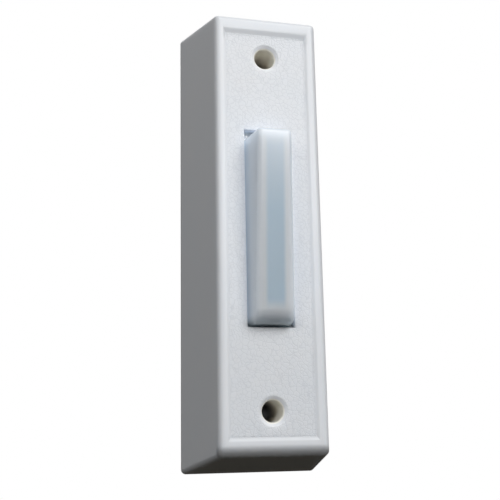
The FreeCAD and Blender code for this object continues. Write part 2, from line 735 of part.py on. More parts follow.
def make_terminal(side, x, z, strip):
    """Screw, clamp washer and square nut of one terminal. The head is on the back of the plate."""
    screw = new_body(f"terminal_screw_{side}")
    seat = f"({PLATE_BACK} - washer_thickness)"
    end = f"({PLATE_FRONT} + {strip} + nut_thickness + terminal_screw_end)"
    profile = side_sketch(screw, "screw_profile", x, z)
    outline(
        profile,
        [
            (f"-{seat} + screw_head_height", "0"),
            (f"-{seat} + screw_head_height", "screw_head_diameter / 2 - screw_head_edge"),
            (f"-{seat} + screw_head_height - screw_head_edge", "screw_head_diameter / 2"),
            (f"-{seat}", "screw_head_diameter / 2"),
            (f"-{seat}", "terminal_screw_diameter / 2"),
            (f"-{end} + screw_head_edge", "terminal_screw_diameter / 2"),
            (f"-{end}", "terminal_screw_diameter / 2 - screw_head_edge"),
            (f"-{end}", "0"),
        ],
    )
    turned(screw, "screw", profile)
    slot = front_sketch(screw, "slot_outline", f"{seat} - screw_head_height", x, z)
    rectangle(slot, "2 * screw_head_diameter", "screw_slot_width")
    pocket_to_front(screw, "slot", slot, "screw_slot_depth")

    washer = new_body(f"clamp_washer_{side}")
    square = front_sketch(washer, "washer_outline", seat, x, z)
    rectangle(square, "washer_width", "washer_width")
    circle(square, TERMINAL_HOLE)
    blank = pad(washer, "washer", square, "washer_thickness")
    corners = outer_edges(blank, edges_where(blank, is_straight, across_depth), x, z, "washer_width")
    dress(washer, "Chamfer", "clipped_corners", blank, corners, "washer_corner")

    nut = new_body(f"terminal_nut_{side}")
    square = front_sketch(nut, "nut_outline", f"{PLATE_FRONT} + {strip}", x, z)
    rectangle(square, "nut_width", "nut_width")
    circle(square, TERMINAL_HOLE)
    blank = pad(nut, "nut", square, "nut_thickness")
    corners = outer_edges(blank, edges_where(blank, is_straight, across_depth), x, z, "nut_width")
    dress(nut, "Chamfer", "nut_corners", blank, corners, "nut_chamfer")


def outer_edges(feature, names, x, z, width):
    """Those of the named edges that lie at the corners of a square of this width about x, z."""
    reach = value_of(width) / 2 - 0.01
    kept = []
    for name in names:
        place = feature.Shape.getElement(name).CenterOfMass
        if abs(place.x - value_of(x)) > reach and abs(place.z - value_of(z)) > reach:
            kept.append(name)
    return kept


# Return springs

def make_spring(name, z):
    body = new_body(name)
    start = f"({PLATE_FRONT} + spring_clearance + spring_wire / 2)"
    length = f"({FLANGE_BACK} - spring_clearance - spring_wire / 2 - {start})"
    wire = sketch_on(body, "YZ_Plane", "wire_circle", f"-{start}", z, "0")
    wire_section(wire, "spring_wire", "spring_mean_diameter / 2")
    coil = body.newObject("PartDesign::AdditiveHelix", "coil")
    coil.Profile = wire
    coil.ReferenceAxis = (wire, ["H_Axis"])
    coil.Mode = "height-turns-growth"
    coil.setExpression("Height", sized(length))
    coil.setExpression("Turns", sized("spring_turns"))
    coil.Reversed = True
    doc.recompute()
    return body


# Indicator lamp with its leads, and the resistor beside the leaf

def make_lamp():
    body = new_body("indicator_lamp")
    profile = side_sketch(body, "lamp_profile", "0", "lamp_height")
    radius = "lamp_diameter / 2"
    dome = f"(-{LAMP_BACK} - {LAMP_LENGTH} + {radius})"
    outline(
        profile,
        [
            (dome, radius),
            (f"-{LAMP_BACK} - lamp_flange_thickness", radius),
            (f"-{LAMP_BACK} - lamp_flange_thickness", "lamp_flange_diameter / 2"),
            (f"-{LAMP_BACK}", "lamp_flange_diameter / 2"),
            (f"-{LAMP_BACK}", "0"),
            (f"{dome} - {radius}", "0"),
        ],
        closed=False,
    )
    cap = Part.Circle(FreeCAD.Vector(value_of(dome), 0, 0), FreeCAD.Vector(0, 0, 1), value_of(radius))
    arc = profile.addGeometry(Part.ArcOfCircle(cap, math.pi / 2, math.pi))
    profile.addConstraint(Sketcher.Constraint("Coincident", arc, 1, 0, 1))
    profile.addConstraint(Sketcher.Constraint("Coincident", arc, 2, 4, 2))
    bind(profile, "Radius", arc, formula=radius)
    turned(body, "lens", profile)
    return body


def bent_wire(name, points):
    """Round wire through points, each an x, a depth and a z formula, with rounded bends."""
    places = [FreeCAD.Vector(value_of(x), -value_of(depth), value_of(z)) for x, depth, z in points]
    radius = value_of("lead_bend")
    edges = []
    start = places[0]
    for i in range(1, len(places) - 1):
        before = (places[i - 1] - places[i]).normalize()
        after = (places[i + 1] - places[i]).normalize()
        half_turn = before.getAngle(after) / 2
        reach = radius / math.tan(half_turn)
        bend_start = places[i] + before * reach
        bend_end = places[i] + after * reach
        inward = (before + after).normalize()
        centre = places[i] + inward * (radius / math.sin(half_turn))
        middle = centre - inward * radius
        edges.append(Part.LineSegment(start, bend_start).toShape())
        edges.append(Part.Arc(bend_start, middle, bend_end).toShape())
        start = bend_end
    edges.append(Part.LineSegment(start, places[-1]).toShape())
    spine = Part.Wire(edges)
    ring = Part.Circle(places[0], places[1] - places[0], value_of("lead_diameter") / 2)
    corners = [ring.value((i + 0.5) * 2 * math.pi / WIRE_SIDES) for i in range(WIRE_SIDES)]
    section = Part.makePolygon(corners + corners[:1])
    wire = doc.addObject("Part::Feature", name)
    wire.Label = name
    wire.Shape = spine.makePipeShell([section], True, False)
    wire.Placement = FreeCAD.Placement()
    return wire


def make_resistor():
    body = new_body("resistor")
    profile = sketch_on(body, "YZ_Plane", "resistor_profile", f"-{RESISTOR_AXIS}", RESISTOR_Z, RIGHT_X)
    half = "resistor_length / 2"
    outline(
        profile,
        [
            ("0", f"-{half}"),
            ("resistor_diameter / 2", f"-{half}"),
            ("resistor_diameter / 2", f"-{half} + resistor_cap_length"),
            ("resistor_waist / 2", f"-{half} + resistor_cap_length + resistor_shoulder"),
            ("resistor_waist / 2", f"{half} - resistor_cap_length - resistor_shoulder"),
            ("resistor_diameter / 2", f"{half} - resistor_cap_length"),
            ("resistor_diameter / 2", half),
            ("0", half),
        ],
    )
    turned(body, "resistor_body", profile, "V_Axis")
    return body


make_housing()
make_push_bar()
make_light_guide()
make_back_plate()
make_fixed_strip()
make_contact_leaf()
make_leaf_contact()
make_rivet("fixed_contact", RIGHT_X, "contact_height", STRIP_FRONT, "contact_head")
make_rivet("strip_rivet", LEFT_X, RIVET_Z, STRIP_FRONT, "rivet_head")
make_rivet("leaf_rivet", RIGHT_X, "-" + RIVET_Z, FOOT_FRONT, "rivet_head")
make_terminal("upper", LEFT_X, TERMINAL_Z, "strip_thickness")
make_terminal("lower", RIGHT_X, "-" + TERMINAL_Z, "leaf_thickness")
make_spring("return_spring_upper", "spring_spacing / 2")
make_spring("return_spring_lower", "-spring_spacing / 2")
make_lamp()
make_resistor()
bent_wire(
    "lamp_lead_left",
    [
        ("-lead_pitch / 2", LAMP_BACK, "lamp_height"),
        ("-lead_pitch / 2", STRIP_LEAD, "lamp_height"),
        (LEFT_X, STRIP_LEAD, "lamp_height"),
    ],
)
bent_wire(
    "lamp_lead_right",
    [
        ("lead_pitch / 2", LAMP_BACK, "lamp_height"),
        ("lead_pitch / 2", RESISTOR_AXIS, "lamp_height"),
        (f"{RIGHT_X} - lead_diameter / 2 - fit_clearance", RESISTOR_AXIS, "lamp_height"),
    ],
)
bent_wire(
    "resistor_lead_lower",
    [(RIGHT_X, RESISTOR_AXIS, RESISTOR_BOTTOM), (RIGHT_X, RESISTOR_AXIS, "lamp_height - lead_overrun")],
)
bent_wire(
    "resistor_lead_upper",
    [
        (RIGHT_X, RESISTOR_AXIS, RESISTOR_TOP),
        (RIGHT_X, RESISTOR_AXIS, f"{RESISTOR_TOP} + lead_loop"),
        (LEAD_X, RESISTOR_AXIS, f"{RESISTOR_TOP} + lead_loop"),
        (LEAD_X, RESISTOR_AXIS, f"-{RIVET_Z} + 2 * tab_width"),
        (LEAD_X, TAB_LEAD, f"-{RIVET_Z} + tab_width"),
        (LEAD_X, TAB_LEAD, "-" + RIVET_Z),
    ],
)

doc.recompute()

# Nothing is written before every object is sound

NODES = [thing for thing in doc.Objects if thing.TypeId in ("PartDesign::Body", "Part::Feature")]
for thing in doc.Objects:
    if "Invalid" in thing.State or "Error" in thing.State:
        raise RuntimeError(f"{thing.Name} failed: {thing.State}")
for node in NODES:
    if node.Shape.isNull() or not node.Shape.isValid():
        raise RuntimeError(f"{node.Label} has no sound shape")
    if len(node.Shape.Solids) != 1:
        raise RuntimeError(f"{node.Label} has {len(node.Shape.Solids)} solids")

os.makedirs("parts", exist_ok=True)
for node in NODES:
    node.Shape.exportStep(f"parts/{node.Label}.step")
    print(node.Label, round(node.Shape.Volume, 2), node.Shape.BoundBox)
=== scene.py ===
import functools
import math

import bmesh
import bpy
from mathutils import Matrix, Vector


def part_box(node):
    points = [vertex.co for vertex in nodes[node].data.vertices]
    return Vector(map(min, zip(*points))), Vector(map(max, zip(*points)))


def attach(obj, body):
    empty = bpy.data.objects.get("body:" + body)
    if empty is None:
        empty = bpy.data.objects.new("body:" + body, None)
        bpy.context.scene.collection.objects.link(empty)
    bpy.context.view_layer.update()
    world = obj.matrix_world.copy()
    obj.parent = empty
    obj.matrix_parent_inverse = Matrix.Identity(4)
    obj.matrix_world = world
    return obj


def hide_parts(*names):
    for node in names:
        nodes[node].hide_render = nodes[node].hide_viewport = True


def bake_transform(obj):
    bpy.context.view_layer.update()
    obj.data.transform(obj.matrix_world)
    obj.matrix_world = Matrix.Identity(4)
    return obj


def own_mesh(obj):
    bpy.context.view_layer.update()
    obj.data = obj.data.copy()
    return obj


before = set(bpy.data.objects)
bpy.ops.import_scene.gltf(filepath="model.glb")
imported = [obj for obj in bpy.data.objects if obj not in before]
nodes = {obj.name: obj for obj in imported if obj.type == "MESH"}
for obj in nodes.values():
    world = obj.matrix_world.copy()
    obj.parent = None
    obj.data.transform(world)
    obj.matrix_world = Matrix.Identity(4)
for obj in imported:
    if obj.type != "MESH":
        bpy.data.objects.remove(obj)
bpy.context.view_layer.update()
MM = 0.001

# Places on the button, in metres: the border's front, the panel in it and the screw holes

housing_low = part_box("housing")[0]
FRONT_Y = housing_low.y
FRONT_HALF_WIDTH = 10.67 * MM
PANEL_DEPTH = 0.6 * MM
PANEL_Y = FRONT_Y + PANEL_DEPTH
PANEL_HALF_WIDTH = 8.5 * MM
PANEL_HALF_HEIGHT = 40.8 * MM
SCREW_HEIGHT = 35.8 * MM

# Mesh work: vertices nearer than WELD are joined, and edges sharper than SHARP are rounded

WELD = 0.001 * MM
SHARP = math.radians(35)
SAME_PLANE = math.radians(0.6)


def add_object(name, data):
    added = bpy.data.objects.new(name, data)
    bpy.context.scene.collection.objects.link(added)
    return added


class Wiring:
    """A node tree, with short ways to add its nodes and join them."""

    def __init__(self, tree):
        self.tree = tree

    def add(self, kind):
        return self.tree.nodes.new(kind)

    def link(self, source, target):
        self.tree.links.new(source, target)

    def feed(self, socket, value):
        """Set the socket to a number, or join an output to it."""
        if isinstance(value, (int, float)):
            socket.default_value = value
        else:
            self.link(value, socket)

    def math(self, operation, *values, clamp=False):
        node = self.add("ShaderNodeMath")
        node.operation = operation
        node.use_clamp = clamp
        for socket, value in zip(node.inputs, values):
            self.feed(socket, value)
        return node.outputs[0]

    def product(self, *values):
        return functools.reduce(functools.partial(self.math, "MULTIPLY"), values)

    def mapped(self, value, low, high, to_low, to_high, smooth=False):
        node = self.add("ShaderNodeMapRange")
        if smooth:
            node.interpolation_type = "SMOOTHSTEP"
        for name, number in zip(("From Min", "From Max", "To Min", "To Max"), (low, high, to_low, to_high)):
            node.inputs[name].default_value = number
        self.link(value, node.inputs["Value"])
        return node.outputs["Result"]

    def surface(self, kind, colour):
        """A plain shader of one colour."""
        node = self.add(kind)
        node.inputs["Color"].default_value = (*colour, 1)
        return node

    def mix(self, share, first, second, target):
        """Two shaders mixed into the target socket."""
        node = self.add("ShaderNodeMixShader")
        for socket, output in zip(node.inputs, (share, first.outputs[0], second.outputs[0])):
            self.link(output, socket)
        self.link(node.outputs[0], target)

    def seen_directly(self, path):
        """1 where the camera looks at it, straight or through something clear."""
        return self.math("MAXIMUM", path["Is Camera Ray"], path["Is Transmission Ray"])


# Camera, at the photograph's place and angle

def make_camera():
    data = bpy.data.cameras.new("photo_camera")
    data.sensor_width = 36.0
    data.lens = 61.8
    camera = add_object("photo_camera", data)
    yaw, pitch, roll = (math.radians(angle) for angle in (14.554, 12.327, -1.082))
    forward = Vector((math.sin(yaw) * math.cos(pitch), math.cos(yaw) * math.cos(pitch), math.sin(pitch)))
    right = Vector((math.cos(yaw), -math.sin(yaw), 0.0))
    up = right.cross(forward)
    rolled_right = right * math.cos(roll) + up * math.sin(roll)
    rolled_up = up * math.cos(roll) - right * math.sin(roll)
    turn = Matrix((rolled_right, rolled_up, -forward)).transposed()
    place = Vector((-45.06, -177.85, -40.57)) * MM
    camera.matrix_world = Matrix.Translation(place) @ turn.to_4x4()
    bpy.context.scene.camera = camera


# Studio: a large soft lamp from the front, above and to the right, a narrow one from the left,
# dim surroundings, and a floor well below the button

def make_lamp(name, place, size, power):
    data = bpy.data.lights.new(name, "AREA")
    data.shape = "RECTANGLE"
    data.size, data.size_y = size
    data.energy = power
    data.color = (0.98, 0.99, 1.0)
    lamp = add_object(name, data)
    aim = (-Vector(place)).to_track_quat("-Z", "Y")
    lamp.matrix_world = Matrix.Translation(place) @ aim.to_matrix().to_4x4()


def make_world():
    """Dim surroundings that are paler above and darker behind, with a white ground to look at."""
    world = bpy.data.worlds.new("studio_world")
    bpy.context.scene.world = world
    world.use_nodes = True
    world.node_tree.nodes.clear()
    wiring = Wiring(world.node_tree)
    direction = wiring.add("ShaderNodeSeparateXYZ")
    wiring.link(wiring.add("ShaderNodeTexCoord").outputs["Generated"], direction.inputs[0])
    backward, upward = direction.outputs["Y"], direction.outputs["Z"]

    ramp = wiring.add("ShaderNodeValToRGB")
    low, high = ramp.color_ramp.elements
    low.position, low.color = 0.15, (0.026, 0.021, 0.014, 1)
    high.position, high.color = 0.95, (0.21, 0.215, 0.23, 1)
    ramp.color_ramp.elements.new(0.45).color = (0.036, 0.038, 0.041, 1)
    wiring.link(wiring.mapped(upward, -1.0, 1.0, 0.0, 1.0), ramp.inputs["Fac"])
    soft = wiring.add("ShaderNodeBackground")
    wiring.link(ramp.outputs["Color"], soft.inputs["Color"])
    wiring.link(wiring.mapped(backward, 0.0, 0.7, 1.0, 0.12), soft.inputs["Strength"])

    # Reflections show some of the white ground, but not what lies straight behind
    white = wiring.surface("ShaderNodeBackground", (1, 1, 1))
    path = wiring.add("ShaderNodeLightPath").outputs
    reflected = wiring.math("MULTIPLY", path["Is Glossy Ray"], wiring.mapped(backward, 0.85, 0.95, 0.6, 0.02))
    shown = wiring.math("MAXIMUM", wiring.seen_directly(path), reflected)
    wiring.mix(shown, soft, white, wiring.add("ShaderNodeOutputWorld").inputs["Surface"])


def make_floor():
    """A floor that looks pale, but throws little light up at the button."""
    mesh = bpy.data.meshes.new("studio_floor")
    half, level = 0.7, housing_low.z - 0.1
    corners = [(-half, -half, level), (half, -half, level), (half, half, level), (-half, half, level)]
    mesh.from_pydata(corners, [], [(0, 1, 2, 3)])
    floor = add_object("studio_floor", mesh)
    material = bpy.data.materials.new("floor_paint")
    material.use_nodes = True
    material.node_tree.nodes.clear()
    wiring = Wiring(material.node_tree)
    pale = wiring.surface("ShaderNodeBsdfDiffuse", (0.82, 0.82, 0.82))
    dim = wiring.surface("ShaderNodeBsdfDiffuse", (0.06, 0.055, 0.045))
    seen = wiring.seen_directly(wiring.add("ShaderNodeLightPath").outputs)
    wiring.mix(seen, dim, pale, wiring.add("ShaderNodeOutputMaterial").inputs["Surface"])
    mesh.materials.append(material)


# Materials

class Finish(Wiring):
    """Material with one Principled shader, whose patterns read object coordinates in metres."""

    def __init__(self, name, colour, roughness, metallic=0.0):
        self.material = bpy.data.materials.new(name)
        self.material.use_nodes = True
        super().__init__(self.material.node_tree)
        self.shader = self.tree.nodes["Principled BSDF"]
        self.shader.inputs["Base Color"].default_value = (*colour, 1)
        self.shader.inputs["Roughness"].default_value = roughness
        self.shader.inputs["Metallic"].default_value = metallic
        self.place = self.add("ShaderNodeTexCoord").outputs["Object"]

    def set_shader(self, **values):
        """Constants on the shader's sockets, by their names with an underscore for each space."""
        for name, value in values.items():
            self.shader.inputs[name.replace("_", " ")].default_value = value

    def use_colour(self, output):
        self.link(output, self.shader.inputs["Base Color"])

    def use_roughness(self, pattern, low, high):
        """Roughness from low to high over the middle part of a pattern."""
        self.link(self.mapped(pattern, 0.3, 0.7, low, high), self.shader.inputs["Roughness"])

    def axes(self):
        node = self.add("ShaderNodeSeparateXYZ")
        self.link(self.place, node.inputs[0])
        return node.outputs["X"], node.outputs["Y"], node.outputs["Z"]

    def stretched(self, scale):
        """Object coordinates scaled along each axis."""
        node = self.add("ShaderNodeMapping")
        node.inputs["Scale"].default_value = scale
        self.link(self.place, node.inputs["Vector"])
        return node.outputs["Vector"]

    def noise(self, scale, detail, distortion=0.0, where=None, output="Fac"):
        node = self.add("ShaderNodeTexNoise")
        node.inputs["Scale"].default_value = scale
        node.inputs["Detail"].default_value = detail
        node.inputs["Distortion"].default_value = distortion
        self.link(where or self.place, node.inputs["Vector"])
        return node.outputs[output]

    def cells(self, scale, warp_scale, warp):
        """Distance to the edges of irregular cells, whose edges are warped by up to half the warp."""
        shift = self.add("ShaderNodeVectorMath")
        shift.operation = "MULTIPLY_ADD"
        self.link(self.noise(warp_scale, 3.0, output="Color"), shift.inputs[0])
        shift.inputs[1].default_value = (warp, warp, warp)
        self.link(self.place, shift.inputs[2])
        node = self.add("ShaderNodeTexVoronoi")
        node.feature = "DISTANCE_TO_EDGE"
        node.inputs["Scale"].default_value = scale
        self.link(shift.outputs["Vector"], node.inputs["Vector"])
        return node.outputs["Distance"]

    def within(self, value, limit, softness):
        """1 where the value is nearer to zero than the limit, falling off softly."""
        distance = self.math("ABSOLUTE", value)
        return self.mapped(distance, limit - softness, limit, 1.0, 0.0, smooth=True)

    def near(self, value, middle, limit, softness):
        """1 where the value is nearer to the middle than the limit, falling off softly."""
        return self.within(self.math("SUBTRACT", value, middle), limit, softness)

    def tint(self, share, first, second):
        """Colour between two colours, each given as numbers or as an output."""
        node = self.add("ShaderNodeMix")
        node.data_type = "RGBA"
        self.link(share, node.inputs["Factor"])
        for socket, value in ((node.inputs["A"], first), (node.inputs["B"], second)):
            if isinstance(value, tuple):
                socket.default_value = (*value, 1)
            else:
                self.link(value, socket)
        return node.outputs["Result"]

    def lean(self, across, backward, upward):
        """The surface's normal leant by an amount along each axis."""
        amount = self.add("ShaderNodeCombineXYZ")
        for socket, value in zip(amount.inputs, (across, backward, upward)):
            self.feed(socket, value)
        leant = self.add("ShaderNodeVectorMath")
        self.link(self.add("ShaderNodeNewGeometry").outputs["Normal"], leant.inputs[0])
        self.link(amount.outputs[0], leant.inputs[1])
        unit = self.add("ShaderNodeVectorMath")
        unit.operation = "NORMALIZE"
        self.link(leant.outputs[0], unit.inputs[0])
        return unit.outputs[0]

    def bump(self, height, strength, distance, normal=None):
        node = self.add("ShaderNodeBump")
        node.inputs["Strength"].default_value = strength
        node.inputs["Distance"].default_value = distance
        self.link(height, node.inputs["Height"])
        if normal:
            self.link(normal, node.inputs["Normal"])
        self.link(node.outputs["Normal"], self.shader.inputs["Normal"])


def rounded_normal(finish, x, y, z, from_axis):
    """Normals leant over the panel's step, the holes' cones and the front rims, so they look rounder."""
    from_front = finish.math("SUBTRACT", y, FRONT_Y)
    on_cone = finish.near(from_axis, 2.65 * MM, 0.5 * MM, 0.1 * MM)
    on_step = finish.product(
        finish.near(from_front, PANEL_DEPTH / 2, 0.29 * MM, 0.03 * MM),
        finish.product(finish.within(x, 9.5 * MM, 0.2 * MM), finish.within(z, 41.9 * MM, 0.2 * MM)),
        finish.mapped(z, 38.5 * MM, 40.0 * MM, 0.8, 0.15),
    )
    forward = finish.math("MULTIPLY", finish.math("MAXIMUM", on_cone, on_step), -3.0)
    at_front = finish.within(from_front, 1.6 * MM, 0.6 * MM)
    lower_rim = finish.mapped(z, -44.2 * MM, -41.8 * MM, -1.4, 0.0, smooth=True)
    left_rim = finish.mapped(x, -FRONT_HALF_WIDTH, -9.3 * MM, -0.45, 0.0, smooth=True)
    right_rim = finish.mapped(x, 9.3 * MM, FRONT_HALF_WIDTH, 0.0, 0.35, smooth=True)
    sideways = finish.product(finish.math("ADD", left_rim, right_rim), at_front)
    return finish.lean(sideways, forward, finish.product(lower_rim, at_front))


def housing_finish():
    """Glossy white moulding with a fine leather grain on the recessed panel, with painted shade in the
    grain's creases and down the screw bores.
    """
    finish = Finish("housing_white", (0.80, 0.81, 0.83), 0.3)
    x, y, z = finish.axes()
    from_panel = finish.math("SUBTRACT", y, PANEL_Y)
    above_screw = finish.math("SUBTRACT", finish.math("ABSOLUTE", z), SCREW_HEIGHT)
    squares = finish.math("ADD", finish.math("POWER", x, 2.0), finish.math("POWER", above_screw, 2.0))
    from_axis = finish.math("SQRT", squares)
    on_panel = finish.product(
        finish.within(from_panel, 0.25 * MM, 0.1 * MM),
        finish.within(x, PANEL_HALF_WIDTH, 0.3 * MM),
        finish.within(z, PANEL_HALF_HEIGHT, 0.3 * MM),
    )

    to_crease = finish.cells(1150, 500, 1.6 * MM)
    grain = finish.product(finish.mapped(to_crease, 0.0, 0.12, 0.0, 1.0, smooth=True), on_panel)
    ripple = finish.product(finish.noise(120, 2.0), 0.2)
    rounded = rounded_normal(finish, x, y, z, from_axis)
    finish.bump(finish.math("ADD", grain, ripple), 0.36, 0.05 * MM, rounded)

    mottle = finish.noise(60, 4.0)
    mottled = finish.mapped(mottle, 0.35, 0.65, 0.0, 1.0)
    # Painted shade: the grain's creases on the panel are painted darker.
    crease_painted_shade = finish.product(finish.mapped(to_crease, 0.0, 0.1, 0.28, 0.0), on_panel)
    # Inside the screw bores the colour is paler and warmer. Deeper in, painted shade takes it towards black,
    # where the holes get little light.
    in_bore = finish.within(from_axis, 2.4 * MM, 0.1 * MM)
    deep = finish.product(finish.mapped(from_panel, 4.5 * MM, 12.0 * MM, 0.0, 1.0), in_bore)
    colour = finish.tint(mottled, (0.785, 0.805, 0.83), (0.81, 0.82, 0.835))
    colour = finish.tint(crease_painted_shade, colour, (0.55, 0.57, 0.60))
    colour = finish.tint(in_bore, colour, (0.95, 0.91, 0.83))
    finish.use_colour(finish.tint(deep, colour, (0.010, 0.010, 0.012)))
    finish.use_roughness(mottle, 0.33, 0.36)
    finish.set_shader(
        Subsurface_Weight=1.0, Subsurface_Radius=(1.0, 0.97, 0.95), Subsurface_Scale=1.5 * MM
    )
    return finish.material


def bar_finish():
    """Milky plastic, bluer where the light guide lies behind it, with painted light: a faint glow, stronger
    at the sides and towards the top, and painted shade at its lower end.
    """
    finish = Finish("bar_milky", (0.56, 0.61, 0.69), 0.16)
    x, _, z = finish.axes()
    before_guide = finish.product(
        finish.within(x, 2.3 * MM, 1.0 * MM),
        finish.within(z, 17.6 * MM, 3.0 * MM),
        finish.mapped(z, 2.0 * MM, 17.0 * MM, 1.0, 0.55),
        finish.mapped(finish.noise(90, 3.0), 0.3, 0.7, 0.9, 1.0),
    )
    # Painted shade: the bar's lower end, which faces down, is painted darker.
    lower_end_painted_shade = finish.mapped(z, -19.6 * MM, -17.8 * MM, 0.5, 0.0, smooth=True)
    colour = finish.tint(before_guide, (0.70, 0.78, 0.92), (0.45, 0.62, 0.90))
    finish.use_colour(finish.tint(lower_end_painted_shade, colour, (0.30, 0.40, 0.34)))
    finish.set_shader(
        Subsurface_Weight=1.0,
        Subsurface_Radius=(1.0, 1.05, 1.1),
        Subsurface_Scale=8.0 * MM,
        IOR=1.59,
        Emission_Color=(0.75, 0.88, 1.0, 1),
    )
    # Painted light: emission that is stronger at the sides and towards the top stands in for light coming
    # through the walls and from above. There is none at the lower end.
    painted_side_light = finish.mapped(finish.math("ABSOLUTE", x), 3.0 * MM, 4.2 * MM, 0.0, 0.085)
    painted_glow = finish.math("ADD", painted_side_light, finish.mapped(z, -20.0 * MM, 18.0 * MM, 0.03, 0.08))
    painted_glow_above_lower_end = finish.mapped(z, -19.4 * MM, -17.8 * MM, 0.0, 1.0)
    finish.link(finish.product(painted_glow, painted_glow_above_lower_end), finish.shader.inputs["Emission Strength"])
    finish.bump(finish.noise(70, 2.0), 0.15, 0.05 * MM)
    return finish.material


def guide_finish():
    """Clear blue moulding."""
    finish = Finish("guide_blue", (0.42, 0.56, 0.74), 0.2)
    finish.use_colour(finish.tint(finish.noise(200, 3.0), (0.38, 0.52, 0.70), (0.48, 0.60, 0.76)))
    finish.set_shader(Transmission_Weight=0.3)
    finish.bump(finish.noise(300, 2.0), 0.1, 0.03 * MM)
    return finish.material


def board_finish():
    """Brown fibre board with upright fibres."""
    finish = Finish("plate_brown_board", (0.13, 0.07, 0.045), 0.55)
    fibre = finish.noise(900, 4.0, where=finish.stretched((1.0, 1.0, 0.25)))
    finish.use_colour(finish.tint(fibre, (0.09, 0.05, 0.032), (0.19, 0.11, 0.07)))
    finish.use_roughness(fibre, 0.45, 0.65)
    finish.bump(fibre, 0.3, 0.05 * MM)
    return finish.material


def metal_finish(name, light, dark, roughness, scale=(1.0, 1.0, 1.0)):
    """Metal with fine marks and slight tarnish. The marks run along an axis whose scale is small."""
    finish = Finish(name, light, roughness, 1.0)
    marks = finish.noise(2600, 3.0, where=finish.stretched(scale))
    tarnish = finish.mapped(finish.noise(350, 4.0, distortion=0.6), 0.4, 0.75, 0.0, 0.8)
    finish.use_colour(finish.tint(tarnish, light, dark))
    finish.use_roughness(marks, roughness * 0.7, roughness * 1.4)
    finish.bump(marks, 0.2, 0.02 * MM)
    return finish.material


def lamp_finish():
    """Clear glass."""
    finish = Finish("lamp_clear", (0.80, 0.88, 0.95), 0.08)
    finish.set_shader(Transmission_Weight=0.7)
    finish.bump(finish.noise(400, 2.0), 0.1, 0.02 * MM)
    return finish.material


def resistor_finish():
    """Tan coating with plain colour rings, each given by its share of the length and its colour."""
    finish = Finish("resistor_tan", (0.62, 0.48, 0.28), 0.35)
    z = finish.axes()[2]
    low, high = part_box("resistor")
    colour = finish.tint(finish.noise(600, 3.0), (0.58, 0.45, 0.26), (0.66, 0.52, 0.32))
    rings = (
        (0.22, (0.28, 0.10, 0.04)),
        (0.40, (0.02, 0.02, 0.02)),
        (0.58, (0.45, 0.04, 0.03)),
        (0.82, (0.55, 0.38, 0.08)),
    )
    for share, ring_colour in rings:
        ring = finish.near(z, low.z + share * (high.z - low.z), 0.28 * MM, 0.06 * MM)
        colour = finish.tint(ring, colour, ring_colour)
    finish.use_colour(colour)
    finish.bump(finish.noise(900, 2.0), 0.15, 0.02 * MM)
    return finish.material


# Pieces

def welded_copy(node, name):
    """A node's own mesh under a new name, and its shape for editing with its faces joined up."""
    mesh = nodes[node].data.copy()
    mesh.name = name
    mesh.materials.clear()
    shape = bmesh.new()
    shape.from_mesh(mesh)
    bmesh.ops.remove_doubles(shape, verts=shape.verts, dist=WELD)
    return mesh, shape


def share_past(value, start, width):
    """0 up to the start, growing evenly to 1 over the width."""
    return min(1.0, max(0.0, (value - start) / width))


def ease_panel_step(shape):
    """The panel's step drawn out into a soft slope, as the moulding has it."""
    foot_x, foot_z = 8.15 * MM, 40.2 * MM
    side_width, lower_width, upper_width = 1.0 * MM, 1.4 * MM, 1.9 * MM
    step_x, step_z, fade = 7.4 * MM, 39.7 * MM, 0.5 * MM
    outer_x, outer_z, cone_radius = 9.2 * MM, 41.5 * MM, 3.2 * MM
    for corner in shape.verts:
        x, y, z = corner.co
        depth = (y - FRONT_Y) / PANEL_DEPTH
        in_step = -0.05 < depth < 0.98 and abs(x) < outer_x and abs(z) < outer_z
        if not in_step or math.hypot(x, abs(z) - SCREW_HEIGHT) < cone_radius:
            continue
        # The slope's profile is level at its foot and at its top
        share = 0.5 - math.sin(math.asin(max(-1.0, min(1.0, 2 * depth - 1))) / 3)
        side, end = share_past(abs(x), step_x, fade), share_past(abs(z), step_z, fade)
        end_width = upper_width if z > 0 else lower_width
        corner.co.x += math.copysign(side, x) * (foot_x + share * side_width - abs(x))
        corner.co.z += math.copysign(end, z) * (foot_z + share * end_width - abs(z))


def ease_lower_rim(shape):
    """The round of the lower front edge drawn up into the border. Its end at the bottom face stays."""
    below, deep, reach = -43.05 * MM, 0.8 * MM, 1.2 * MM
    for corner in shape.verts:
        depth = corner.co.y - FRONT_Y
        if depth < deep and corner.co.z < below:
            corner.co.z += reach * (1 - max(0.0, depth) / deep) ** 2


def soften(mesh, shape, width, material):
    """A piece of the mesh, with its flats joined and its sharp edges slightly rounded."""
    shape.to_mesh(mesh)
    shape.free()
    mesh.materials.append(material)
    piece = add_object(mesh.name, mesh)
    bevel = piece.modifiers.new("edge_softening", "BEVEL")
    bevel.width = width
    bevel.segments = 3
    bevel.limit_method = "ANGLE"
    bevel.angle_limit = SHARP
    flats = piece.modifiers.new("flat_faces", "WEIGHTED_NORMAL")
    flats.mode = "FACE_AREA"
    flats.weight = 100
    for face in mesh.polygons:
        face.use_smooth = True
    return piece


def join_flats(shape):
    bmesh.ops.dissolve_limit(
        shape, angle_limit=SAME_PLANE, verts=shape.verts, edges=shape.edges, delimit={"NORMAL"}
    )


def dress_housing():
    mesh, shape = welded_copy("housing", "housing_shell")
    join_flats(shape)
    ease_panel_step(shape)
    ease_lower_rim(shape)
    piece = soften(mesh, shape, 0.12 * MM, housing_finish())
    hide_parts("housing")
    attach(piece, "base")


def dress_bar():
    mesh, shape = welded_copy("push_bar", "push_bar_shell")
    join_flats(shape)
    piece = soften(mesh, shape, 0.08 * MM, bar_finish())
    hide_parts("push_bar")
    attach(piece, "bar")


